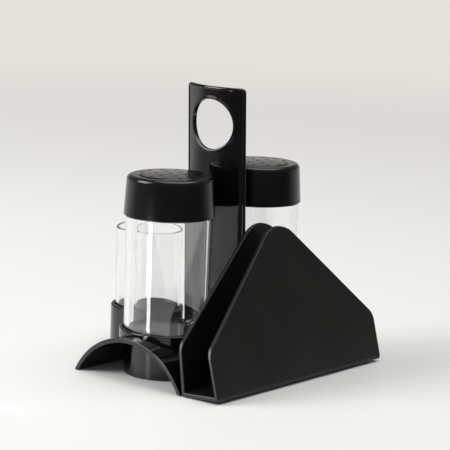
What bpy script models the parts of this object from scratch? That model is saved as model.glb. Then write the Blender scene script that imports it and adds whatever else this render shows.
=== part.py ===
"""Table cruet set: a moulded stand with a napkin holder and a carry handle,
two clear shakers with pierced caps, and a clear toothpick cup.

Metres, +Z up. The origin is on the table, under the middle of the footprint.
The napkin holder faces -Y and the toothpick cup stands at +Y.
"""
import math

import bmesh
import bpy
from mathutils import Matrix, Vector

# Gap left between pieces that touch or seat on each other
SEAT_GAP = 0.0003
# Extra reach of a cutter past the faces it cuts
OVERCUT = 0.004

# Arched base
STAND_LENGTH = 0.1248
ARCH_SPAN = 0.0686
ARCH_RISE = 0.0209
ARCH_WALL = 0.0022
ARCH_OFFSET_Y = -0.0022

# Shaker seats on the crown of the arch
SHAKER_SPACING = 0.0652
COLLAR_TOP = 0.0222
COLLAR_WALL = 0.0016
SEAT_FLOOR = 0.0188
SEAT_FLOOR_WALL = 0.0020
PILLAR_RADIUS = 0.0200
PILLAR_WALL = 0.0016

# Toothpick cup and its socket
CUP_DISTANCE = 0.0406
CUP_RIM_RADIUS = 0.0177
CUP_FOOT_RADIUS = 0.0169
CUP_RIM_HEIGHT = 0.0615
CUP_WALL = 0.0014
CUP_FLOOR = 0.0026
CUP_LIP_ROUND = 0.0005
SOCKET_TOP = 0.0219
SOCKET_WALL = 0.0020
SOCKET_FLOOR = 0.0022

# Shaker jars
JAR_FOOT_RADIUS = 0.0206
JAR_SHOULDER_RADIUS = 0.0210
JAR_SHOULDER_HEIGHT = 0.0767
JAR_FOOT_ROUND = 0.0012
JAR_WALL = 0.0024
JAR_FLOOR = 0.0022
NECK_RADIUS = 0.0193
NECK_WALL = 0.0010
NECK_HEIGHT = 0.0110

# Pierced caps, pushed on over the necks
CAP_RIM_RADIUS = 0.0220
CAP_TOP_RADIUS = 0.0208
CAP_HEIGHT = 0.0198
CAP_TOP_WALL = 0.0016
CAP_SHOULDER_ROUND = 0.0026
CAP_DISH_RADIUS = 0.0165
CAP_DISH_DEPTH = 0.0006
POUR_HOLE_RADIUS = 0.0010
POUR_RINGS = ((0.0, 1), (0.0070, 6), (0.0138, 12))

# Fit of a loose piece in its seat, on the radius
LOOSE_FIT = 0.00035

# Napkin holder: two leaning plates on a floor strip
PLATE_WALL = 0.0020
PLATE_HEIGHT = 0.0732
PLATE_SIDE_HEIGHT = 0.0236
PLATE_CORNER_ROUND = 0.0070
PLATE_NOSE_RADIUS = 0.0160
REAR_LEAN = math.radians(7.4)
FRONT_LEAN = math.radians(14.7)
NAPKIN_GAP = 0.0180
NAPKIN_FLOOR = 0.0021
FRONT_LIFT = 0.0014
TENON_WIDTH = 0.0120
TENON_SPACING = 0.0400
TENON_LOW = 0.0030
TENON_HIGH = 0.0068
TENON_REACH = 0.0030

# Carry handle: an upright curved plate with a finger hole, leaning a little toward the cup
HANDLE_TOP = 0.1364
HANDLE_WIDTH = 0.0362
HANDLE_WALL = 0.0022
HANDLE_BEND_RADIUS = 0.0360
HANDLE_FACE_X = -0.0035
HANDLE_OFFSET_Y = -0.0020
HANDLE_LEAN = math.radians(2.1)
HANDLE_CORNER_ROUND = 0.0022
FINGER_HOLE_RADIUS = 0.0121
FINGER_HOLE_HEIGHT = 0.1179
BEAD_WIDTH = 0.0013
PANEL_RECESS = 0.0004
TONGUE_WIDTH = 0.0220
TONGUE_DROP = 0.0060

# Facets around a full turn and along one rounded corner
TURN_STEPS = 48
HOLE_STEPS = 10
CORNER_STEPS = 4
ARC_STEPS = 32

# Sizes that follow from the ones above
ARCH_RADIUS = ((ARCH_SPAN / 2) ** 2 + ARCH_RISE ** 2) / (2 * ARCH_RISE)
ARCH_CENTRE_Z = ARCH_RISE - ARCH_RADIUS
TONGUE_BOTTOM = ARCH_RISE - ARCH_WALL - TONGUE_DROP
SHAKER_PLACES = {"salt": -SHAKER_SPACING / 2, "pepper": SHAKER_SPACING / 2}
JAR_BOTTOM = SEAT_FLOOR + SEAT_GAP
JAR_TAPER = (JAR_SHOULDER_RADIUS - JAR_FOOT_RADIUS) / (JAR_SHOULDER_HEIGHT - JAR_BOTTOM)
SEAT_RADIUS = JAR_FOOT_RADIUS + JAR_TAPER * (COLLAR_TOP - JAR_BOTTOM) + LOOSE_FIT
COLLAR_RADIUS = SEAT_RADIUS + COLLAR_WALL
CAP_BOTTOM = JAR_SHOULDER_HEIGHT + SEAT_GAP
CUP_BOTTOM = SOCKET_FLOOR + SEAT_GAP
CUP_TAPER = (CUP_RIM_RADIUS - CUP_FOOT_RADIUS) / (CUP_RIM_HEIGHT - CUP_BOTTOM)
SOCKET_RADIUS = CUP_FOOT_RADIUS + CUP_TAPER * (SOCKET_TOP - CUP_BOTTOM) + LOOSE_FIT
SOCKET_OUTER_RADIUS = SOCKET_RADIUS + SOCKET_WALL
HOLDER_BACK_Y = ARCH_OFFSET_Y - ARCH_SPAN / 2 - SEAT_GAP
REAR_THICKNESS = PLATE_WALL / math.cos(REAR_LEAN)
FRONT_THICKNESS = PLATE_WALL / math.cos(FRONT_LEAN)
HOLDER_FRONT_Y = HOLDER_BACK_Y - REAR_THICKNESS - NAPKIN_GAP - FRONT_THICKNESS
FOOTPRINT_BACK = CUP_DISTANCE + SOCKET_OUTER_RADIUS
FOOTPRINT_MIDDLE = (FOOTPRINT_BACK + HOLDER_FRONT_Y) / 2


def clear_scene():
    for thing in list(bpy.data.objects):
        bpy.data.objects.remove(thing, do_unlink=True)


def plastic(name, colour, roughness, clear=0.0):
    """Principled material of a moulded plastic; clear is the share of light let through."""
    finish = bpy.data.materials.new(name)
    finish.use_nodes = True
    shader = finish.node_tree.nodes["Principled BSDF"]
    shader.inputs["Base Color"].default_value = (*colour, 1.0)
    shader.inputs["Roughness"].default_value = roughness
    shader.inputs["Metallic"].default_value = 0.0
    shader.inputs["Transmission Weight"].default_value = clear
    return finish


def make_object(name, mesh_data, frame, finish=None, smooth_angle=30.0):
    """Turn a bmesh into a named object under the stand's frame."""
    bmesh.ops.recalc_face_normals(mesh_data, faces=mesh_data.faces)
    mesh = bpy.data.meshes.new(name)
    mesh_data.to_mesh(mesh)
    mesh_data.free()
    mesh.shade_smooth()
    mesh.set_sharp_from_angle(angle=math.radians(smooth_angle))
    thing = bpy.data.objects.new(name, mesh)
    bpy.context.scene.collection.objects.link(thing)
    thing.parent = frame
    if finish is not None:
        mesh.materials.append(finish)
    return thing


def hide_tool(thing):
    """Mark an object as a cutter or a building block that is not a piece itself."""
    thing.hide_render = True
    thing.display_type = "WIRE"
    return thing


def combine(target, tools, operation):
    """Add one exact Boolean of a group of tools to the target."""
    group = bpy.data.collections.new(f"{target.name}_{operation.lower()}")
    for tool in tools:
        group.objects.link(hide_tool(tool))
    step = target.modifiers.new(group.name, "BOOLEAN")
    step.operation = operation
    step.solver = "EXACT"
    step.operand_type = "COLLECTION"
    step.collection = group


def filleted(corners):
    """Points of an outline through corners (a, b, radius), each rounded by its radius."""
    points = []
    for index, (a, b, radius) in enumerate(corners):
        here = Vector((a, b))
        if radius == 0.0:
            points.append(here)
            continue
        to_last = (Vector(corners[index - 1][:2]) - here).normalized()
        to_next = (Vector(corners[(index + 1) % len(corners)][:2]) - here).normalized()
        half = to_last.angle(to_next) / 2
        middle = here + (to_last + to_next).normalized() * (radius / math.sin(half))
        spoke = here + to_last * (radius / math.tan(half)) - middle
        turn = math.copysign(math.pi - 2 * half, to_next.cross(to_last))
        for step in range(CORNER_STEPS + 1):
            angle = turn * step / CORNER_STEPS
            across = Vector((-spoke.y, spoke.x))
            points.append(middle + spoke * math.cos(angle) + across * math.sin(angle))
    return points


def placed(a, b, depth, axis):
    """Point of an outline in space, with its depth along the push direction."""
    return {"X": (depth, a, b), "Y": (a, depth, b), "Z": (a, b, depth)}[axis]


def prism(name, outline, axis, low, high, frame, finish=None):
    """Solid of a flat outline pushed along X, Y or Z from low to high."""
    mesh_data = bmesh.new()
    ring = [mesh_data.verts.new(placed(a, b, low, axis)) for a, b in outline]
    face = mesh_data.faces.new(ring)
    pushed = bmesh.ops.extrude_face_region(mesh_data, geom=[face])
    moved = [item for item in pushed["geom"] if isinstance(item, bmesh.types.BMVert)]
    bmesh.ops.translate(mesh_data, verts=moved, vec=placed(0.0, 0.0, high - low, axis))
    return make_object(name, mesh_data, frame, finish)


def turned(name, profile, centre, frame, finish=None, steps=TURN_STEPS):
    """Solid of a profile (radius, height), from axis to axis, turned about a vertical axis."""
    mesh_data = bmesh.new()
    chain = [mesh_data.verts.new((radius, 0.0, height)) for radius, height in profile]
    edges = [mesh_data.edges.new(pair) for pair in zip(chain, chain[1:])]
    bmesh.ops.spin(mesh_data, geom=chain + edges, cent=(0, 0, 0), axis=(0, 0, 1),
                   angle=2 * math.pi, steps=steps, use_merge=True)
    bmesh.ops.remove_doubles(mesh_data, verts=mesh_data.verts, dist=0.00001)
    thing = make_object(name, mesh_data, frame, finish)
    thing.location = centre
    return thing


def drum(name, radius, low, high, centre, frame, steps=TURN_STEPS):
    """Plain upright cylinder used as a building block or a cutter."""
    profile = ((0.0, low), (radius, low), (radius, high), (0.0, high))
    return turned(name, profile, centre, frame, steps=steps)


def arch_outline(radius, low):
    """Upper arc of the arch at a radius about its centre, from one side's low end to the other's."""
    reach = math.acos((low - ARCH_CENTRE_Z) / radius)
    points = []
    for step in range(ARC_STEPS + 1):
        angle = reach - 2 * reach * step / ARC_STEPS
        points.append((ARCH_OFFSET_Y + radius * math.sin(angle), ARCH_CENTRE_Z + radius * math.cos(angle)))
    return points


def arch_core(name, radius, frame):
    """Everything under an arc of the arch, to cut what has to end on it."""
    reach = STAND_LENGTH / 2 + OVERCUT
    return prism(name, arch_outline(radius, -OVERCUT), "X", -reach, reach, frame)


def leaned(thing):
    """Lean a block or cutter of the handle about the arch's crown, its level cuts staying level."""
    shear = Matrix.Identity(4)
    shear[1][2] = math.tan(HANDLE_LEAN)
    shear[1][3] = HANDLE_OFFSET_Y - math.tan(HANDLE_LEAN) * ARCH_RISE
    thing.data.transform(shear @ thing.matrix_basis)
    thing.matrix_basis = Matrix.Identity(4)
    return thing


def handle_sector(name, outer, inner, half_width, low, high, frame, end_round=0.0):
    """Leaning piece of the handle's curved wall between two radii, its ends rounded or cut radially."""
    axis = Vector((HANDLE_FACE_X + HANDLE_BEND_RADIUS, 0.0))
    middle = (outer + inner) / 2
    reach = math.asin((half_width - end_round) / middle)
    outline = []
    for radius, direction in ((outer, 1), (inner, -1)):
        for step in range(ARC_STEPS + 1):
            angle = direction * (reach - 2 * reach * step / ARC_STEPS)
            outline.append(axis + radius * Vector((-math.cos(angle), math.sin(angle))))
        if end_round:
            outline += end_arc(axis, middle, -direction * reach, direction * end_round)
    return leaned(prism(name, outline, "Z", low, high, frame))


def end_arc(axis, middle, angle, radius):
    """Half circle round one end of the handle's curved wall; a negative radius starts at the inner skin."""
    outward = Vector((-math.cos(angle), math.sin(angle)))
    along = Vector((math.sin(angle), math.cos(angle)))
    points = []
    for step in range(1, 2 * CORNER_STEPS):
        turn = math.pi * step / (2 * CORNER_STEPS)
        points.append(axis + middle * outward + radius * (math.cos(turn) * outward - math.sin(turn) * along))
    return points


def build_base(frame, finish):
    """Arched base with two shaker seats, a toothpick socket and the slots for what plugs in."""
    half = STAND_LENGTH / 2
    outline = arch_outline(ARCH_RADIUS, -OVERCUT) + arch_outline(ARCH_RADIUS - ARCH_WALL, -OVERCUT)[::-1]
    base = prism("stand_base", outline, "X", -half, half, frame, finish)
    under = arch_core("under_arch", ARCH_RADIUS - ARCH_WALL / 2, frame)
    above = max(COLLAR_TOP, SOCKET_TOP) + OVERCUT
    below = -2 * OVERCUT
    ceiling = SEAT_FLOOR - SEAT_FLOOR_WALL
    pillar_top = (SEAT_FLOOR + COLLAR_TOP) / 2
    socket = (0.0, CUP_DISTANCE, 0.0)
    added = [drum("socket_wall", SOCKET_OUTER_RADIUS, -OVERCUT, SOCKET_TOP, socket, frame)]
    removed = [drum("socket_bore", SOCKET_RADIUS, SOCKET_FLOOR, above, socket, frame)]
    for name, x in SHAKER_PLACES.items():
        seat = (x, 0.0, 0.0)
        collar = drum(name + "_collar", COLLAR_RADIUS, 0.0, COLLAR_TOP, seat, frame)
        combine(collar, [under], "DIFFERENCE")
        added.append(collar)
        added.append(drum(name + "_pillar", PILLAR_RADIUS, -OVERCUT, pillar_top, seat, frame))
        removed.append(drum(name + "_seat", SEAT_RADIUS, SEAT_FLOOR, above, seat, frame))
        removed.append(drum(name + "_hollow", PILLAR_RADIUS - PILLAR_WALL, below, ceiling, seat, frame))
    removed.append(handle_sector("handle_slot", HANDLE_BEND_RADIUS + SEAT_GAP,
                                 HANDLE_BEND_RADIUS - HANDLE_WALL - SEAT_GAP, TONGUE_WIDTH / 2 + SEAT_GAP,
                                 TONGUE_BOTTOM, ARCH_RISE + OVERCUT, frame))
    for index, outline in enumerate(tenon_outlines(SEAT_GAP)):
        removed.append(prism(f"tenon_slot_{index}", outline, "Y", HOLDER_BACK_Y,
                             ARCH_OFFSET_Y - ARCH_SPAN / 4, frame))
    reach = STAND_LENGTH + CUP_DISTANCE
    table = [(-reach, -reach), (reach, -reach), (reach, reach), (-reach, reach)]
    removed.append(prism("table_trim", table, "Z", below - OVERCUT, 0.0, frame))
    combine(base, added, "UNION")
    combine(base, removed, "DIFFERENCE")
    return base


def tenon_outlines(gap):
    """Front views of the napkin holder's two tenons, grown by a gap on every side."""
    outlines = []
    for middle in (-TENON_SPACING / 2, TENON_SPACING / 2):
        left = middle - TENON_WIDTH / 2 - gap
        right = middle + TENON_WIDTH / 2 + gap
        low = TENON_LOW - gap
        high = TENON_HIGH + gap
        outlines.append([(left, low), (right, low), (right, high), (left, high)])
    return outlines


def build_napkin_holder(frame, finish):
    """Two leaning plates on a floor strip, trimmed to the plates' front outline."""
    top = PLATE_HEIGHT + OVERCUT
    rear = math.tan(REAR_LEAN)
    front = math.tan(FRONT_LEAN)
    back = HOLDER_BACK_Y
    inner = back - REAR_THICKNESS
    slot_front = HOLDER_FRONT_Y + FRONT_THICKNESS
    section = [
        (back, 0.0), (back + rear * top, top), (inner + rear * top, top),
        (inner + rear * NAPKIN_FLOOR, NAPKIN_FLOOR),
        (slot_front + front * NAPKIN_FLOOR, FRONT_LIFT + NAPKIN_FLOOR),
        (slot_front + front * (top - FRONT_LIFT), top), (HOLDER_FRONT_Y + front * (top - FRONT_LIFT), top),
        (HOLDER_FRONT_Y, FRONT_LIFT), (inner, 0.0)]
    half = STAND_LENGTH / 2
    holder = prism("napkin_holder", section, "X", -half - OVERCUT, half + OVERCUT, frame, finish)
    rise = PLATE_HEIGHT - PLATE_NOSE_RADIUS - PLATE_SIDE_HEIGHT
    slope = math.atan2(rise, half) + math.asin(PLATE_NOSE_RADIUS / math.hypot(half, rise))
    apex = PLATE_SIDE_HEIGHT + half * math.tan(slope)
    face = filleted([
        (-half, -OVERCUT, 0.0), (half, -OVERCUT, 0.0), (half, PLATE_SIDE_HEIGHT, PLATE_CORNER_ROUND),
        (0.0, apex, PLATE_NOSE_RADIUS), (-half, PLATE_SIDE_HEIGHT, PLATE_CORNER_ROUND)])
    trim = prism("plate_outline", face, "Y", HOLDER_FRONT_Y - OVERCUT, back + rear * top + OVERCUT, frame)
    combine(holder, [trim], "INTERSECT")
    leg_height = TENON_HIGH - ARCH_CENTRE_Z
    inner_foot = ARCH_OFFSET_Y - math.sqrt((ARCH_RADIUS - ARCH_WALL) ** 2 - leg_height ** 2)
    start = inner + REAR_THICKNESS / 2
    tenons = [prism(f"tenon_{index}", outline, "Y", start, inner_foot + TENON_REACH, frame)
              for index, outline in enumerate(tenon_outlines(0.0))]
    combine(holder, tenons, "UNION")
    return holder


def build_handle(frame, finish):
    """Upright curved plate with edge beads, a finger hole, and a tongue through the arch's crown."""
    half = HANDLE_WIDTH / 2
    skin = HANDLE_BEND_RADIUS - HANDLE_WALL
    low = 0.0
    top = HANDLE_TOP + OVERCUT
    reach = HANDLE_BEND_RADIUS * 2
    handle = handle_sector("handle", HANDLE_BEND_RADIUS, skin, half, low, top, frame, HANDLE_WALL / 2)
    handle.data.materials.append(finish)
    wide = half + SEAT_GAP
    side = filleted([(-wide, low - OVERCUT, 0.0), (wide, low - OVERCUT, 0.0),
                     (wide, HANDLE_TOP, HANDLE_CORNER_ROUND), (-wide, HANDLE_TOP, HANDLE_CORNER_ROUND)])
    combine(handle, [leaned(prism("handle_outline", side, "X", -reach, reach, frame))], "INTERSECT")
    inset = half - BEAD_WIDTH
    panel_top = HANDLE_TOP - BEAD_WIDTH
    panel = [(-inset, low), (inset, low), (inset, panel_top), (-inset, panel_top)]
    faces = {"front": (HANDLE_BEND_RADIUS + OVERCUT, HANDLE_BEND_RADIUS - PANEL_RECESS),
             "back": (skin + PANEL_RECESS, skin - OVERCUT)}
    removed = [finger_drum("finger_hole", FINGER_HOLE_RADIUS, frame),
               arch_core("arch_clearance", ARCH_RADIUS + SEAT_GAP, frame)]
    for name, (outer, inner) in faces.items():
        recess = handle_sector(name + "_recess", outer, inner, half + OVERCUT, low - OVERCUT, top, frame)
        combine(recess, [leaned(prism(name + "_panel", panel, "X", -reach, reach, frame))], "INTERSECT")
        combine(recess, [finger_drum(name + "_bead", FINGER_HOLE_RADIUS + BEAD_WIDTH, frame)], "DIFFERENCE")
        removed.append(recess)
    combine(handle, removed, "DIFFERENCE")
    tongue = handle_sector("tongue", HANDLE_BEND_RADIUS - PANEL_RECESS / 2, skin + PANEL_RECESS / 2,
                           TONGUE_WIDTH / 2, TONGUE_BOTTOM, ARCH_RISE + OVERCUT, frame)
    combine(handle, [tongue], "UNION")
    return handle


def finger_drum(name, radius, frame):
    """Cylinder across the handle, at the finger hole."""
    reach = HANDLE_BEND_RADIUS
    thing = drum(name, radius, -reach, reach, (0.0, 0.0, FINGER_HOLE_HEIGHT), frame)
    thing.rotation_euler = (0.0, math.pi / 2, 0.0)
    return leaned(thing)


def build_jar(name, x, frame, finish):
    """Clear jar with a straight bore and a stepped-in neck for the cap."""
    shoulder = JAR_SHOULDER_HEIGHT
    inside = JAR_BOTTOM + JAR_FLOOR
    mouth = shoulder + NECK_HEIGHT
    throat = NECK_RADIUS - NECK_WALL
    profile = filleted([
        (0.0, JAR_BOTTOM, 0.0), (JAR_FOOT_RADIUS, JAR_BOTTOM, JAR_FOOT_ROUND),
        (JAR_SHOULDER_RADIUS, shoulder, 0.0), (NECK_RADIUS, shoulder, 0.0), (NECK_RADIUS, mouth, 0.0),
        (throat, mouth, 0.0), (JAR_FOOT_RADIUS - JAR_WALL, inside, JAR_FOOT_ROUND), (0.0, inside, 0.0)])
    return turned(name, profile, (x, 0.0, 0.0), frame, finish)


def build_cap(name, x, frame, finish):
    """Tapered push-on cap with a shallow dished top and rings of pouring holes."""
    bottom = CAP_BOTTOM
    top = bottom + CAP_HEIGHT
    bore = NECK_RADIUS + SEAT_GAP
    ceiling = top - CAP_DISH_DEPTH - CAP_TOP_WALL
    profile = filleted([
        (0.0, top - CAP_DISH_DEPTH, 0.0), (CAP_DISH_RADIUS, top - CAP_DISH_DEPTH, 0.0),
        (CAP_DISH_RADIUS + CAP_DISH_DEPTH, top, 0.0), (CAP_TOP_RADIUS, top, CAP_SHOULDER_ROUND),
        (CAP_RIM_RADIUS, bottom, 0.0), (bore, bottom, 0.0), (bore, ceiling, 0.0), (0.0, ceiling, 0.0)])
    cap = turned(name, profile, (x, 0.0, 0.0), frame, finish)
    holes = []
    for radius, count in POUR_RINGS:
        for index in range(count):
            angle = 2 * math.pi * index / count
            place = (x + radius * math.cos(angle), radius * math.sin(angle), 0.0)
            holes.append(drum(f"{name}_hole_{len(holes)}", POUR_HOLE_RADIUS, ceiling - OVERCUT,
                              top + OVERCUT, place, frame, HOLE_STEPS))
    combine(cap, holes, "DIFFERENCE")
    return cap


def build_toothpick_cup(frame, finish):
    """Clear tapered cup that stands loose in the rear socket."""
    inside = CUP_BOTTOM + CUP_FLOOR
    profile = filleted([
        (0.0, CUP_BOTTOM, 0.0), (CUP_FOOT_RADIUS, CUP_BOTTOM, JAR_FOOT_ROUND),
        (CUP_RIM_RADIUS, CUP_RIM_HEIGHT, CUP_LIP_ROUND),
        (CUP_RIM_RADIUS - CUP_WALL, CUP_RIM_HEIGHT, CUP_LIP_ROUND),
        (CUP_FOOT_RADIUS - CUP_WALL, inside, JAR_FOOT_ROUND), (0.0, inside, 0.0)])
    return turned("toothpick_cup", profile, (0.0, CUP_DISTANCE, 0.0), frame, finish)


def main():
    clear_scene()
    frame = bpy.data.objects.new("stand_frame", None)
    frame.location = (0.0, -FOOTPRINT_MIDDLE, 0.0)
    bpy.context.scene.collection.objects.link(frame)
    gloss_black = plastic("gloss_black_plastic", (0.012, 0.012, 0.012), 0.16)
    satin_black = plastic("satin_black_plastic", (0.016, 0.016, 0.015), 0.38)
    clear = plastic("clear_plastic", (0.97, 0.98, 0.98), 0.04, clear=1.0)
    build_base(frame, gloss_black)
    build_napkin_holder(frame, satin_black)
    build_handle(frame, gloss_black)
    for name, x in SHAKER_PLACES.items():
        build_jar(name + "_jar", x, frame, clear)
        build_cap(name + "_cap", x, frame, satin_black)
    build_toothpick_cup(frame, clear)


main()
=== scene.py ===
import math

import bpy
from mathutils import Matrix, Vector


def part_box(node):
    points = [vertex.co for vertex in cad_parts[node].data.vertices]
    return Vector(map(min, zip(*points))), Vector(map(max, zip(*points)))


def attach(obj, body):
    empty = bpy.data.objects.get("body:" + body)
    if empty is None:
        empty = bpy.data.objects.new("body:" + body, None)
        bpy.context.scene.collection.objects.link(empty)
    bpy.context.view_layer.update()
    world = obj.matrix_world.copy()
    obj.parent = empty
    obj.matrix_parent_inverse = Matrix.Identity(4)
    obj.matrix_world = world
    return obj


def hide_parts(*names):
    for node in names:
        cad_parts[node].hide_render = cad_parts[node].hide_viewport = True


millimetre = 0.001
near = 0.0001  # two places closer than this are the same one
weldReach = 0.000005
cornerReach = 0.000002
facing = 0.9  # a face whose normal has this share along an axis faces that way
roundSteps = 128
cornerSegments = 6

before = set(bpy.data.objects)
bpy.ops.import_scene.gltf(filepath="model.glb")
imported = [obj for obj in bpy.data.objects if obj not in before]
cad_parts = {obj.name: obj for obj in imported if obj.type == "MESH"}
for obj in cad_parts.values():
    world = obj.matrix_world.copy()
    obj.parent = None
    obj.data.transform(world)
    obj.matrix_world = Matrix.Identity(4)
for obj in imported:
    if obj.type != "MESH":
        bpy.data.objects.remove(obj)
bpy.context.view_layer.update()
print("frame loaded:", len(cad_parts), "nodes")


def hexLinear(text):
    parts = [int(text[start:start + 2], 16) / 255 for start in (1, 3, 5)]
    return [part / 12.92 if part <= 0.04045 else ((part + 0.055) / 1.055) ** 2.4 for part in parts] + [1.0]


def addNode(tree, kind, settings=None, links=None):
    node = tree.nodes.new(kind)
    for key, value in (settings or {}).items():
        if isinstance(key, int) or key in node.inputs:
            node.inputs[key].default_value = value
        else:
            setattr(node, key, value)
    for key, source in (links or {}).items():
        tree.links.new(source, node.inputs[key])
    return node


def newTree(material):
    material.use_nodes = True
    material.node_tree.nodes.clear()
    return material.node_tree


# selection and mode helpers


def deselectAll():
    if bpy.context.object and bpy.context.object.mode != "OBJECT":
        bpy.ops.object.mode_set(mode="OBJECT")
    bpy.ops.object.select_all(action="DESELECT")


def pick(piece, parts, test):  # selects only the vertices, edges or faces that pass, and opens edit mode
    bpy.ops.object.mode_set(mode="EDIT")
    bpy.ops.mesh.select_mode(type={"vertices": "VERT", "edges": "EDGE", "polygons": "FACE"}[parts])
    bpy.ops.mesh.select_all(action="DESELECT")
    bpy.ops.object.mode_set(mode="OBJECT")
    for part in getattr(piece.data, parts):
        part.select = bool(test(part))
    bpy.ops.object.mode_set(mode="EDIT")


def edgeEnds(piece, edge):
    return [piece.data.vertices[index].co for index in edge.vertices]


def settle(piece):  # place goes into the mesh, and the object itself to the origin
    deselectAll()
    piece.select_set(True)
    bpy.context.view_layer.objects.active = piece
    bpy.ops.object.transform_apply(location=True, rotation=True, scale=True)


def applyModifier(piece, kind, settings):
    bpy.context.view_layer.objects.active = piece
    bpy.ops.object.modifier_add(type=kind)
    step = piece.modifiers[-1]
    for key, value in settings.items():
        setattr(step, key, value)
    bpy.ops.object.modifier_apply(modifier=step.name)


def combine(piece, tools, operation):  # one exact Boolean with a group of tools, which are then thrown away
    group = bpy.data.collections.new("tools")
    for tool in tools:
        group.objects.link(tool)
    applyModifier(piece, "BOOLEAN", {"operation": operation, "solver": "EXACT", "operand_type": "COLLECTION",
                                     "collection": group})
    for tool in tools:
        bpy.data.objects.remove(tool, do_unlink=True)
    bpy.data.collections.remove(group)


def roundEdges(piece, width, segments=3, angle=40):
    applyModifier(piece, "BEVEL", {"width": width, "segments": segments, "limit_method": "ANGLE",
                                   "angle_limit": math.radians(angle), "use_clamp_overlap": False})


def tidyMesh(piece):
    pick(piece, "vertices", lambda part: True)
    bpy.ops.mesh.remove_doubles(threshold=weldReach)
    bpy.ops.mesh.normals_make_consistent(inside=False)
    bpy.ops.object.mode_set(mode="OBJECT")


def finishPiece(piece, name, body, node, material, smoothAngle=32):
    settle(piece)
    piece.name = name
    piece.data.name = name
    bpy.ops.object.shade_smooth_by_angle(angle=math.radians(smoothAngle))
    applyModifier(piece, "WEIGHTED_NORMAL", {"keep_sharp": True})  # long walls stay flat beside small rounds
    piece.data.materials.clear()
    piece.data.materials.append(material)
    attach(piece, body)
    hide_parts(node)
    print("piece done:", name, len(piece.data.polygons), "faces")


def drawWire(points):  # a wire drawn point by point from a plane merged to one vertex
    deselectAll()
    bpy.ops.mesh.primitive_plane_add(size=millimetre, location=points[0])
    wire = bpy.context.object
    bpy.ops.object.mode_set(mode="EDIT")
    bpy.ops.mesh.select_all(action="SELECT")
    bpy.ops.mesh.merge(type="CENTER")
    for last, here in zip(points, points[1:]):
        bpy.ops.mesh.extrude_region_move(TRANSFORM_OT_translate={"value": Vector(here) - Vector(last)})
    bpy.ops.object.mode_set(mode="OBJECT")
    return wire


def lathe(profile, centre, steps=roundSteps):  # profile: (radius, height, set-back), from axis to axis
    points = [(centre[0] + corner[0], centre[1], corner[1]) for corner in profile]
    turned = drawWire(points)
    start = Vector(points[0])
    for point, corner in zip(points, profile):
        if len(corner) == 3:
            place = Vector(point) - start
            pick(turned, "vertices", lambda part: (part.co - place).length < cornerReach)
            bpy.ops.mesh.bevel(offset=corner[2], segments=cornerSegments, affect="VERTICES")
            bpy.ops.object.mode_set(mode="OBJECT")
    pick(turned, "vertices", lambda part: True)
    bpy.ops.mesh.spin(steps=steps, angle=2 * math.pi, center=(centre[0], centre[1], 0.0), axis=(0, 0, 1))
    settle(turned)
    tidyMesh(turned)
    return turned


def drum(radius, low, high, centre, steps=roundSteps):
    return lathe([(0.0, low), (radius, low), (radius, high), (0.0, high)], centre, steps)


def nodeMiddle(node):
    low, high = (Vector(corner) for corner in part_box(node))
    return (low + high) / 2


# camera at the photograph's viewing angle

cameraSpot = {
    "place": (-0.78366, -0.66600, 0.25669), "lens": 170.91, "sensor": 36.0,
    "yaw": math.radians(49.98), "pitch": math.radians(10.39), "roll": math.radians(1.95)}


def placeCamera(spot):
    deselectAll()
    bpy.ops.object.camera_add(location=spot["place"])
    camera = bpy.context.object
    yaw, pitch, roll = spot["yaw"], spot["pitch"], spot["roll"]
    ahead = Vector((math.sin(yaw) * math.cos(pitch), math.cos(yaw) * math.cos(pitch), -math.sin(pitch)))
    side = Vector((math.cos(yaw), -math.sin(yaw), 0.0))
    above = side.cross(ahead)
    right = side * math.cos(roll) + above * math.sin(roll)
    up = above * math.cos(roll) - side * math.sin(roll)
    turn = Matrix((right, up, -ahead)).transposed().to_4x4()
    camera.matrix_world = Matrix.Translation(spot["place"]) @ turn
    camera.data.sensor_width = spot["sensor"]
    camera.data.lens = spot["lens"]
    bpy.context.scene.camera = camera


placeCamera(cameraSpot)
print("camera placed")

# materials

cloudLow = 0.3
cloudHigh = 0.7
reliefDepth = 0.05 * millimetre


def blackPlastic(name, look):
    # moulded black plastic: a dark body, a clean sheen, and a faint unevenness left by the mould
    material = bpy.data.materials.new(name)
    tree = newTree(material)
    spot = addNode(tree, "ShaderNodeTexCoord")
    cloud = addNode(tree, "ShaderNodeTexNoise",
                    {"Scale": 1 / (look["cloudSize"] * millimetre), "Detail": 3.0, "Roughness": 0.55},
                    {"Vector": spot.outputs["Object"]})
    grain = addNode(tree, "ShaderNodeTexNoise",
                    {"Scale": 1 / (look["grainSize"] * millimetre), "Detail": 2.0, "Roughness": 0.6},
                    {"Vector": spot.outputs["Object"]})
    tone = addNode(tree, "ShaderNodeValToRGB", None, {"Fac": cloud.outputs["Fac"]})
    tone.color_ramp.elements[0].position = cloudLow
    tone.color_ramp.elements[0].color = hexLinear(look["dark"])
    tone.color_ramp.elements[1].position = cloudHigh
    tone.color_ramp.elements[1].color = hexLinear(look["light"])
    sheen = addNode(tree, "ShaderNodeMapRange",
                    {"From Min": cloudLow, "From Max": cloudHigh, "To Min": look["smooth"],
                     "To Max": look["rough"]},
                    {"Value": cloud.outputs["Fac"]})
    relief = addNode(tree, "ShaderNodeBump", {"Strength": look["relief"], "Distance": reliefDepth},
                     {"Height": grain.outputs["Fac"]})
    shader = addNode(tree, "ShaderNodeBsdfPrincipled", {"IOR": look["ior"]},
                     {"Base Color": tone.outputs["Color"], "Roughness": sheen.outputs["Result"],
                      "Normal": relief.outputs["Normal"]})
    addNode(tree, "ShaderNodeOutputMaterial", None, {"Surface": shader.outputs["BSDF"]})
    return material


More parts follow.
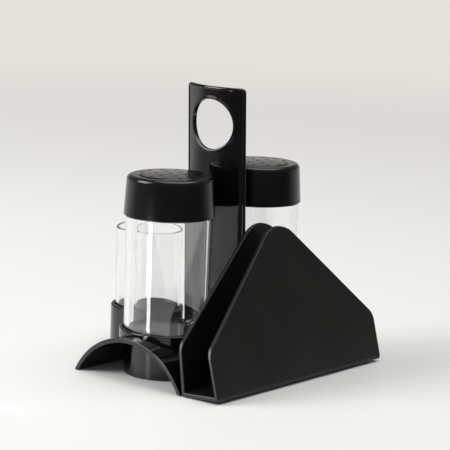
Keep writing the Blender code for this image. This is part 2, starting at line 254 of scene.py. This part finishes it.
def clearPlastic(name, look):
    # crystal polystyrene: water-clear, and a little brighter in reflection than glass
    material = bpy.data.materials.new(name)
    tree = newTree(material)
    spot = addNode(tree, "ShaderNodeTexCoord")
    ripple = addNode(tree, "ShaderNodeTexNoise",
                     {"Scale": 1 / (look["rippleSize"] * millimetre), "Detail": 1.0, "Roughness": 0.4},
                     {"Vector": spot.outputs["Object"]})
    relief = addNode(tree, "ShaderNodeBump", {"Strength": look["relief"], "Distance": reliefDepth},
                     {"Height": ripple.outputs["Fac"]})
    shader = addNode(tree, "ShaderNodeBsdfPrincipled",
                     {"Base Color": hexLinear(look["tint"]), "Roughness": look["rough"], "IOR": look["ior"],
                      "Transmission Weight": 1.0},
                     {"Normal": relief.outputs["Normal"]})
    path = addNode(tree, "ShaderNodeLightPath")
    unshaded = addNode(tree, "ShaderNodeBsdfTransparent", {"Color": hexLinear(look["shadowTint"])})
    mixed = addNode(tree, "ShaderNodeMixShader", None, {"Fac": path.outputs["Is Shadow Ray"]})
    tree.links.new(shader.outputs["BSDF"], mixed.inputs[1])
    tree.links.new(unshaded.outputs["BSDF"], mixed.inputs[2])
    addNode(tree, "ShaderNodeOutputMaterial", None, {"Surface": mixed.outputs["Shader"]})
    return material


glossPolystyrene = blackPlastic("black polystyrene, polished mould", {
    "dark": "#060606", "light": "#0a0a0a", "smooth": 0.05, "rough": 0.09, "ior": 1.54,
    "cloudSize": 14.0, "grainSize": 2.4, "relief": 0.02})
satinPolystyrene = blackPlastic("black polystyrene, satin mould", {
    "dark": "#0b0b0a", "light": "#10100f", "smooth": 0.30, "rough": 0.38, "ior": 1.44,
    "cloudSize": 18.0, "grainSize": 0.5, "relief": 0.10})
capPolypropylene = blackPlastic("black polypropylene cap", {
    "dark": "#080808", "light": "#0d0d0c", "smooth": 0.17, "rough": 0.23, "ior": 1.46,
    "cloudSize": 9.0, "grainSize": 1.2, "relief": 0.03})
crystalPolystyrene = clearPlastic("clear crystal polystyrene", {
    "tint": "#fefefe", "shadowTint": "#e6e8e8", "rough": 0.0, "ior": 1.57, "rippleSize": 9.0,
    "relief": 0.03})
print("materials mixed")

# arched base: a slice of tube, with shaker seats on its crown and a toothpick socket behind

baseSizes = {
    "archSpan": 0.0686, "archRise": 0.0209, "archWall": 0.0022, "archMiddleY": -0.0022,
    "collarRadius": 0.02258, "collarTop": 0.0222, "seatRadius": 0.02098, "seatFloor": 0.0188,
    "pillarRadius": 0.0200, "pillarWall": 0.0016, "seatFloorWall": 0.0020,
    "socketTop": 0.0219, "socketRadius": 0.01951, "socketBore": 0.01751, "socketFloor": 0.0022,
    "edgeRound": 0.0004, "rimRound": 0.0006, "overcut": 0.004, "archSteps": 256}
rowY = nodeMiddle("salt_jar").y  # the row of shakers lies a little off the footprint's middle


def archRadius(sizes):
    return ((sizes["archSpan"] / 2) ** 2 + sizes["archRise"] ** 2) / (2 * sizes["archRise"])


def archTube(radius, length, fill):
    middle = (0.0, rowY + baseSizes["archMiddleY"], baseSizes["archRise"] - archRadius(baseSizes))
    deselectAll()
    bpy.ops.mesh.primitive_cylinder_add(
        vertices=baseSizes["archSteps"], radius=radius, depth=length, end_fill_type=fill,
        location=middle, rotation=(0.0, math.pi / 2, 0.0))
    tube = bpy.context.object
    settle(tube)
    return tube


def archCore(radius):
    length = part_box("stand_base")[1][0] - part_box("stand_base")[0][0]
    return archTube(radius, length + 2 * baseSizes["overcut"], "NGON")


def shapeArch(sizes):
    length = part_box("stand_base")[1][0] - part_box("stand_base")[0][0]
    arch = archTube(archRadius(sizes), length, "NOTHING")
    applyModifier(arch, "SOLIDIFY", {"thickness": sizes["archWall"], "offset": -1.0})
    pick(arch, "polygons", lambda part: True)
    bpy.ops.mesh.bisect(plane_co=(0.0, 0.0, 0.0), plane_no=(0.0, 0.0, 1.0), use_fill=True, clear_inner=True)
    tidyMesh(arch)
    roundEdges(arch, sizes["edgeRound"])
    return arch


def shapeBase(sizes):
    base = shapeArch(sizes)
    edge = sizes["rimRound"]
    above = sizes["collarTop"] + sizes["overcut"]
    socket = nodeMiddle("toothpick_cup")
    added = [lathe([(0.0, 0.0), (sizes["socketRadius"], 0.0, sizes["edgeRound"]),
                    (sizes["socketRadius"], sizes["socketTop"], edge), (0.0, sizes["socketTop"])], socket)]
    removed = [lathe([(0.0, sizes["socketFloor"]), (sizes["socketBore"], sizes["socketFloor"], edge),
                      (sizes["socketBore"], sizes["socketTop"], edge),
                      (sizes["socketBore"] + 2 * edge, sizes["socketTop"] + edge),
                      (sizes["socketBore"] + 2 * edge, above), (0.0, above)], socket)]
    for shaker in ("salt", "pepper"):
        seat = nodeMiddle(shaker + "_jar")
        collar = lathe([(0.0, sizes["edgeRound"]), (sizes["collarRadius"], sizes["edgeRound"]),
                        (sizes["collarRadius"], sizes["collarTop"], edge), (0.0, sizes["collarTop"])], seat)
        combine(collar, [archCore(archRadius(sizes) - sizes["archWall"] / 2)], "DIFFERENCE")
        pillarTop = (sizes["seatFloor"] + sizes["collarTop"]) / 2
        pillar = lathe([(0.0, 0.0), (sizes["pillarRadius"], 0.0, sizes["edgeRound"]),
                        (sizes["pillarRadius"], pillarTop), (0.0, pillarTop)], seat)
        added += [collar, pillar]
        removed.append(lathe([(0.0, sizes["seatFloor"]), (sizes["seatRadius"], sizes["seatFloor"], edge),
                              (sizes["seatRadius"], sizes["collarTop"], edge),
                              (sizes["seatRadius"] + 2 * edge, sizes["collarTop"] + edge),
                              (sizes["seatRadius"] + 2 * edge, above), (0.0, above)], seat))
        removed.append(drum(sizes["pillarRadius"] - sizes["pillarWall"], -sizes["overcut"],
                            sizes["seatFloor"] - sizes["seatFloorWall"], seat))
    combine(base, added, "UNION")
    combine(base, removed, "DIFFERENCE")
    tidyMesh(base)
    finishPiece(base, "arched_base", "stand", "stand_base", glossPolystyrene)


shapeBase(baseSizes)

# napkin holder: a channel whose two leaning plates are trimmed to a rounded triangle

holderSizes = {
    "wall": 0.0020, "rearLean": math.radians(7.4), "frontLean": math.radians(14.7), "slot": 0.0180,
    "floor": 0.0021, "frontLift": 0.0014, "sideHeight": 0.0236, "sideRound": 0.0070, "noseRadius": 0.0160,
    "edgeRound": 0.00045, "cornerSegments": 14}


def shapeHolder(sizes):
    low, high = (Vector(corner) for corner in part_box("napkin_holder"))
    half = high.x
    top = high.z
    rearWall = sizes["wall"] / math.cos(sizes["rearLean"])
    frontWall = sizes["wall"] / math.cos(sizes["frontLean"])
    depth = rearWall + sizes["slot"] + frontWall
    deselectAll()
    bpy.ops.mesh.primitive_cube_add(size=1.0, location=(0.0, low.y + depth / 2, sizes["floor"] / 2))
    holder = bpy.context.object
    holder.scale = (2 * half, depth, sizes["floor"])
    settle(holder)
    for cut in (low.y + frontWall, low.y + frontWall + sizes["slot"]):
        pick(holder, "polygons", lambda part: True)
        bpy.ops.mesh.bisect(plane_co=(0.0, cut, 0.0), plane_no=(0.0, 1.0, 0.0))
        bpy.ops.object.mode_set(mode="OBJECT")
    middle = low.y + frontWall + sizes["slot"] / 2
    reach = top + sizes["noseRadius"] - sizes["floor"]
    for side, lean in ((-1, sizes["frontLean"]), (1, sizes["rearLean"])):
        pick(holder, "polygons", lambda part: part.normal.z > facing and part.center.z < 2 * sizes["floor"]
             and (part.center.y - middle) * side > sizes["slot"] / 2)
        bpy.ops.mesh.extrude_region_move(
            TRANSFORM_OT_translate={"value": (0.0, reach * math.tan(lean), reach)})
        bpy.ops.object.mode_set(mode="OBJECT")
    pick(holder, "vertices", lambda part: part.co.y < middle and part.co.z < 2 * sizes["floor"])
    bpy.ops.transform.translate(value=(0.0, 0.0, sizes["frontLift"]))
    bpy.ops.object.mode_set(mode="OBJECT")
    rise = top - sizes["noseRadius"] - sizes["sideHeight"]
    slope = math.atan2(rise, half) + math.asin(sizes["noseRadius"] / math.hypot(half, rise))
    for side in (-1, 1):
        pick(holder, "polygons", lambda part: True)
        bpy.ops.mesh.bisect(plane_co=(side * half, 0.0, sizes["sideHeight"]),
                            plane_no=(side * math.sin(slope), 0.0, math.cos(slope)),
                            use_fill=True, clear_outer=True)
        bpy.ops.object.mode_set(mode="OBJECT")
    tidyMesh(holder)
    apex = sizes["sideHeight"] + half * math.tan(slope)

    def crosses(edge, x, z):
        ends = edgeEnds(holder, edge)
        return all(abs(abs(end.x) - x) < near and abs(end.z - z) < near for end in ends)

    noseBack = sizes["noseRadius"] * math.tan(slope)
    sideBack = sizes["sideRound"] * math.tan((math.pi / 2 - slope) / 2)
    for x, z, setBack in ((0.0, apex, noseBack), (half, sizes["sideHeight"], sideBack)):
        pick(holder, "edges", lambda part: crosses(part, x, z))
        bpy.ops.mesh.bevel(offset=setBack, segments=sizes["cornerSegments"], affect="EDGES",
                           clamp_overlap=False)
        bpy.ops.object.mode_set(mode="OBJECT")
    roundEdges(holder, sizes["edgeRound"])
    tidyMesh(holder)
    finishPiece(holder, "napkin_channel", "stand", "napkin_holder", satinPolystyrene)


shapeHolder(holderSizes)

# carry handle: a flat plate with a beaded border and finger hole, bent round an upright axis

handleSizes = {
    "width": 0.0362, "wall": 0.0022, "bendRadius": 0.0360, "cornerRound": 0.0022, "holeRadius": 0.0121,
    "holeHeight": 0.1179, "middleY": -0.0020, "lean": math.radians(2.1), "root": 0.0040,
    "bead": 0.0013, "recess": 0.0004, "beadRound": 0.0009, "stepRound": 0.0002, "cuts": 48,
    "holeSteps": 96, "cornerSegments": 8, "beadSegments": 5, "sharpAngle": math.radians(80)}


def shapeHandle(sizes):
    low, high = (Vector(corner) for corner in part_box("handle"))
    bend = sizes["bendRadius"] - sizes["wall"] / 2
    endRound = sizes["wall"] / 2
    flatWidth = 2 * (bend * math.asin((sizes["width"] / 2 - endRound) / bend) + endRound)
    bottom = baseSizes["archRise"] - sizes["root"]
    deselectAll()
    bpy.ops.mesh.primitive_cube_add(size=1.0, location=(0.0, 0.0, (bottom + high.z) / 2))
    plate = bpy.context.object
    plate.scale = (sizes["wall"], flatWidth, high.z - bottom)
    settle(plate)
    pick(plate, "edges", lambda part: all(end.z > high.z - near for end in edgeEnds(plate, part))
         and abs(edgeEnds(plate, part)[0].y - edgeEnds(plate, part)[1].y) < near)
    bpy.ops.mesh.bevel(offset=sizes["cornerRound"], segments=sizes["cornerSegments"], affect="EDGES")
    bpy.ops.object.mode_set(mode="OBJECT")
    deselectAll()
    bpy.ops.mesh.primitive_cylinder_add(
        vertices=sizes["holeSteps"], radius=sizes["holeRadius"], depth=4 * sizes["wall"],
        location=(0.0, 0.0, sizes["holeHeight"]), rotation=(0.0, math.pi / 2, 0.0))
    hole = bpy.context.object
    hole.scale = (1.0, math.asin(sizes["holeRadius"] / bend) * bend / sizes["holeRadius"], 1.0)
    settle(hole)
    combine(plate, [hole], "DIFFERENCE")
    for side in (-1, 1):
        pick(plate, "polygons", lambda part: part.normal.x * side > facing)
        bpy.ops.mesh.inset(thickness=sizes["bead"])
        bpy.ops.mesh.inset(thickness=sizes["recess"] / 2, depth=-sizes["recess"])
        bpy.ops.object.mode_set(mode="OBJECT")
    pick(plate, "edges", lambda part: False)
    bpy.ops.mesh.edges_select_sharp(sharpness=sizes["sharpAngle"])
    bpy.ops.mesh.bevel(offset=sizes["beadRound"], segments=sizes["beadSegments"], affect="EDGES",
                       clamp_overlap=False)
    bpy.ops.object.mode_set(mode="OBJECT")
    roundEdges(plate, sizes["stepRound"])
    for cut in range(1, sizes["cuts"]):
        pick(plate, "polygons", lambda part: True)
        bpy.ops.mesh.bisect(plane_co=(0.0, flatWidth * (cut / sizes["cuts"] - 0.5), 0.0), plane_no=(0, 1, 0))
        bpy.ops.object.mode_set(mode="OBJECT")
    for corner in plate.data.vertices:  # bent by hand, so that the plate's skin keeps its own radius
        turn = corner.co.y / bend
        radius = bend - corner.co.x
        corner.co.x = low.x + sizes["bendRadius"] - radius * math.cos(turn)
        drift = sizes["middleY"] + math.tan(sizes["lean"]) * (corner.co.z - baseSizes["archRise"])
        corner.co.y = rowY + drift + radius * math.sin(turn)
    tidyMesh(plate)
    combine(plate, [archCore(archRadius(baseSizes))], "DIFFERENCE")
    finishPiece(plate, "carry_handle", "stand", "handle", glossPolystyrene)


shapeHandle(handleSizes)

# shaker jars: clear, with a thick foot and a neck that the cap hides

jarSizes = {
    "footRadius": 0.0206, "wall": 0.0024, "floor": 0.0022, "footRound": 0.0012, "neckRadius": 0.0193,
    "neckWall": 0.0010, "neckHeight": 0.0110, "lipRound": 0.0004, "steps": 160}


def shapeJar(shaker, sizes):
    node = shaker + "_jar"
    low, high = (Vector(corner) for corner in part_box(node))
    shoulderRadius = (high.x - low.x) / 2
    shoulder = high.z - sizes["neckHeight"]
    throat = sizes["neckRadius"] - sizes["neckWall"]
    inside = low.z + sizes["floor"]
    jar = lathe([
        (0.0, low.z), (sizes["footRadius"], low.z, sizes["footRound"]),
        (shoulderRadius, shoulder, sizes["lipRound"]), (sizes["neckRadius"], shoulder, sizes["lipRound"]),
        (sizes["neckRadius"], high.z, sizes["lipRound"]), (throat, high.z, sizes["lipRound"]),
        (sizes["footRadius"] - sizes["wall"], inside, sizes["footRound"]), (0.0, inside)],
        nodeMiddle(node), sizes["steps"])
    finishPiece(jar, shaker + "_clear_jar", shaker + "_shaker", node, crystalPolystyrene)


# caps: tapered, with a rounded shoulder, and rings of pouring holes in a low crowned disc

capSizes = {
    "topRadius": 0.0208, "shoulderRound": 0.0021, "discRadius": 0.0153, "discRise": 0.00035,
    "crown": 0.00025, "crownSteps": 5, "topWall": 0.0016, "bore": 0.0196, "rimRound": 0.0003,
    "discRound": 0.0001,
    "holeRadius": 0.0010, "holeReach": 0.002, "holeSteps": 24,
    "holeRings": ((0.0, 1), (0.0070, 6), (0.0138, 12))}


def shapeCap(shaker, sizes):
    node = shaker + "_cap"
    low, high = (Vector(corner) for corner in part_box(node))
    middle = nodeMiddle(node)
    disc = high.z - sizes["crown"]
    shoulder = disc - sizes["discRise"]
    ceiling = shoulder - sizes["topWall"]
    shares = [step / sizes["crownSteps"] for step in range(sizes["crownSteps"])]
    crown = [(sizes["discRadius"] * share, high.z - sizes["crown"] * share ** 2) for share in shares]
    cap = lathe(crown + [
        (sizes["discRadius"], disc, sizes["discRound"]),
        (sizes["discRadius"] + sizes["discRise"], shoulder, sizes["discRound"]),
        (sizes["topRadius"], shoulder, sizes["shoulderRound"]),
        ((high.x - low.x) / 2, low.z, sizes["rimRound"]), (sizes["bore"], low.z, sizes["rimRound"]),
        (sizes["bore"], ceiling, sizes["rimRound"]), (0.0, ceiling)], middle)
    holes = []
    for ring, count in sizes["holeRings"]:
        for number in range(count):
            turn = 2 * math.pi * number / count
            place = (middle.x + ring * math.cos(turn), middle.y + ring * math.sin(turn))
            holes.append(drum(sizes["holeRadius"], ceiling - sizes["holeReach"], high.z + sizes["holeReach"],
                              place, sizes["holeSteps"]))
    combine(cap, holes, "DIFFERENCE")
    finishPiece(cap, shaker + "_pierced_cap", shaker + "_shaker_cap", node, capPolypropylene)


for shaker in ("salt", "pepper"):
    shapeJar(shaker, jarSizes)
    shapeCap(shaker, capSizes)

# toothpick cup: clear and tapered, loose in its socket

cupSizes = {
    "footRadius": 0.0169, "wall": 0.0014, "floor": 0.0026, "footRound": 0.0012, "lipRound": 0.0005,
    "steps": 160}


def shapeCup(sizes):
    low, high = (Vector(corner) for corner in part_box("toothpick_cup"))
    rimRadius = (high.x - low.x) / 2
    inside = low.z + sizes["floor"]
    cup = lathe([
        (0.0, low.z), (sizes["footRadius"], low.z, sizes["footRound"]),
        (rimRadius, high.z, sizes["lipRound"]), (rimRadius - sizes["wall"], high.z, sizes["lipRound"]),
        (sizes["footRadius"] - sizes["wall"], inside, sizes["footRound"]), (0.0, inside)],
        nodeMiddle("toothpick_cup"), sizes["steps"])
    finishPiece(cup, "clear_toothpick_cup", "cup", "toothpick_cup", crystalPolystyrene)


shapeCup(cupSizes)

# stage: a white board, a pale room that is dim on the camera's side, and soft lamps

# the board's dark grey near end in this look is painted shade, seen only in the pieces' gloss
stageLook = {
    "boardColour": "#f3f3f2", "boardRough": 0.5, "boardSize": 12.0, "farColour": "#e5e2dd", "farFrom": 0.35,
    "farTo": 1.5, "paintedShadeColour": "#4a4a4a", "paintedShadeFrom": 0.08, "paintedShadeTo": 0.34, "front": (-0.766, -0.643, 0.0),
    "frontFrom": -0.50, "frontTo": 0.05, "roomColour": "#f2efea", "roomBehind": 0.90, "roomFront": 0.25,
    "roomClear": 0.85, "roomThrough": 0.22, "behind": (0.766, 0.643, 0.0), "behindFrom": 0.25,
    "behindTo": 0.95, "highFrom": math.sin(math.radians(5)), "highTo": math.sin(math.radians(14)),
    "highShare": 0.3}


def layBoard(look):
    # matt white board; its far end is a plain pale backdrop, and in the pieces' gloss its near end is
    # painted dark grey, a painted shade that stands in for a dim front of the room
    deselectAll()
    bpy.ops.mesh.primitive_plane_add(size=look["boardSize"], location=(0.0, 0.0, 0.0))
    board = bpy.context.object
    board.name = "white_board"
    material = bpy.data.materials.new("white matt board")
    tree = newTree(material)
    spot = addNode(tree, "ShaderNodeTexCoord")
    path = addNode(tree, "ShaderNodeLightPath")
    reach = addNode(tree, "ShaderNodeVectorMath", {"operation": "LENGTH"},
                    {"Vector": spot.outputs["Object"]})
    toFront = addNode(tree, "ShaderNodeVectorMath", {"operation": "DOT_PRODUCT", 1: look["front"]},
                      {0: spot.outputs["Object"]})
    nearEnd = addNode(tree, "ShaderNodeMapRange",
                      {"interpolation_type": "SMOOTHSTEP", "From Min": look["frontFrom"],
                       "From Max": look["frontTo"]}, {"Value": toFront.outputs["Value"]})
    dim = addNode(tree, "ShaderNodeMapRange",
                  {"interpolation_type": "SMOOTHSTEP", "From Min": look["paintedShadeFrom"],
                   "From Max": look["paintedShadeTo"]}, {"Value": reach.outputs["Value"]})
    paintedShadeNear = addNode(tree, "ShaderNodeMath", {"operation": "MULTIPLY"},
                      {0: dim.outputs["Result"], 1: nearEnd.outputs["Result"]})
    inBlack = addNode(tree, "ShaderNodeMath", {"operation": "SUBTRACT", "use_clamp": True},
                      {0: path.outputs["Is Glossy Ray"], 1: path.outputs["Is Singular Ray"]})
    paintedShadeInGloss = addNode(tree, "ShaderNodeMath", {"operation": "MULTIPLY"},
                      {0: paintedShadeNear.outputs["Value"], 1: inBlack.outputs["Value"]})
    # painted shade: in glossy rays that are not mirror-sharp, the board's near end turns dark grey
    tone = addNode(tree, "ShaderNodeValToRGB", None, {"Fac": paintedShadeInGloss.outputs["Value"]})
    tone.color_ramp.elements[0].color = hexLinear(look["boardColour"])
    tone.color_ramp.elements[1].color = hexLinear(look["paintedShadeColour"])
    shader = addNode(tree, "ShaderNodeBsdfPrincipled", {"Roughness": look["boardRough"]},
                     {"Base Color": tone.outputs["Color"]})
    far = addNode(tree, "ShaderNodeMapRange",
                  {"interpolation_type": "SMOOTHSTEP", "From Min": look["farFrom"],
                   "From Max": look["farTo"]}, {"Value": reach.outputs["Value"]})
    seen = addNode(tree, "ShaderNodeMath", {"operation": "MAXIMUM"},
                   {0: path.outputs["Is Camera Ray"], 1: path.outputs["Is Transmission Ray"]})
    backdrop = addNode(tree, "ShaderNodeMath", {"operation": "MULTIPLY"},
                       {0: far.outputs["Result"], 1: seen.outputs["Value"]})
    plain = addNode(tree, "ShaderNodeEmission", {"Color": hexLinear(look["farColour"])})
    mixed = addNode(tree, "ShaderNodeMixShader", None,
                    {0: backdrop.outputs["Value"], 1: shader.outputs["BSDF"], 2: plain.outputs["Emission"]})
    addNode(tree, "ShaderNodeOutputMaterial", None, {"Surface": mixed.outputs["Shader"]})
    board.data.materials.append(material)


def lightRoom(look):
    world = bpy.data.worlds.new("pale room")
    bpy.context.scene.world = world
    world.use_nodes = True
    tree = world.node_tree
    tree.nodes.clear()
    spot = addNode(tree, "ShaderNodeTexCoord")
    path = addNode(tree, "ShaderNodeLightPath")
    side = addNode(tree, "ShaderNodeVectorMath", {"operation": "DOT_PRODUCT", 1: look["behind"]},
                   {0: spot.outputs["Generated"]})
    level = addNode(tree, "ShaderNodeMapRange",
                    {"interpolation_type": "SMOOTHSTEP", "From Min": look["behindFrom"],
                     "From Max": look["behindTo"], "To Min": look["roomFront"],
                     "To Max": look["roomBehind"]}, {"Value": side.outputs["Value"]})
    height = addNode(tree, "ShaderNodeSeparateXYZ", None, {"Vector": spot.outputs["Generated"]})
    fade = addNode(tree, "ShaderNodeMapRange",
                   {"interpolation_type": "SMOOTHSTEP", "From Min": look["highFrom"],
                    "From Max": look["highTo"], "To Min": 1.0, "To Max": look["highShare"]},
                   {"Value": height.outputs["Z"]})
    faded = addNode(tree, "ShaderNodeMath", {"operation": "MULTIPLY"},
                    {0: level.outputs["Result"], 1: fade.outputs["Result"]})
    lowest = addNode(tree, "ShaderNodeMath", {"operation": "MAXIMUM", 1: look["roomFront"]},
                     {0: faded.outputs["Value"]})
    clear = addNode(tree, "ShaderNodeMix", {3: look["roomClear"]},
                    {0: path.outputs["Is Singular Ray"], 2: lowest.outputs["Value"]})
    through = addNode(tree, "ShaderNodeMix", {3: look["roomThrough"]},
                      {0: path.outputs["Is Transmission Ray"], 2: clear.outputs[0]})
    strength = addNode(tree, "ShaderNodeMix", {3: look["roomBehind"]},
                       {0: path.outputs["Is Camera Ray"], 2: through.outputs[0]})
    light = addNode(tree, "ShaderNodeBackground", {"Color": hexLinear(look["roomColour"])},
                    {"Strength": strength.outputs[0]})
    addNode(tree, "ShaderNodeOutputWorld", None, {"Surface": light.outputs["Background"]})


def addLamp(name, look):
    deselectAll()
    bpy.ops.object.light_add(type="AREA", location=look["place"])
    lamp = bpy.context.object
    lamp.name = name
    lamp.data.shape = "RECTANGLE"
    lamp.data.size, lamp.data.size_y = look["size"]
    lamp.data.energy = look["power"]
    lamp.rotation_euler = (Vector(look["aim"]) - Vector(look["place"])).to_track_quat("-Z", "Y").to_euler()
    lamp.visible_camera = False
    if look.get("glossOnly"):  # a strip that shows only as a streak in polished and clear pieces
        lamp.visible_diffuse = False
        lamp.visible_transmission = False


lamps = {
    "window_left": {"place": (-1.1, 0.9, 0.9), "aim": (0.0, 0.0, 0.03), "size": (0.9, 0.9), "power": 21.0},
    "soft_overhead": {"place": (0.2, -0.2, 1.8), "aim": (0.0, 0.0, 0.0), "size": (1.6, 1.6), "power": 22.0},
    "strip_left": {"place": (-0.1417, 0.0062, 0.031), "aim": (-0.0526, -0.0063, 0.031),
                   "size": (0.017, 0.062), "power": 0.053, "glossOnly": True}}

layBoard(stageLook)
lightRoom(stageLook)
for lampName, lampLook in lamps.items():
    addLamp(lampName, lampLook)
bpy.context.scene.view_settings.view_transform = "Standard"
print("stage set")
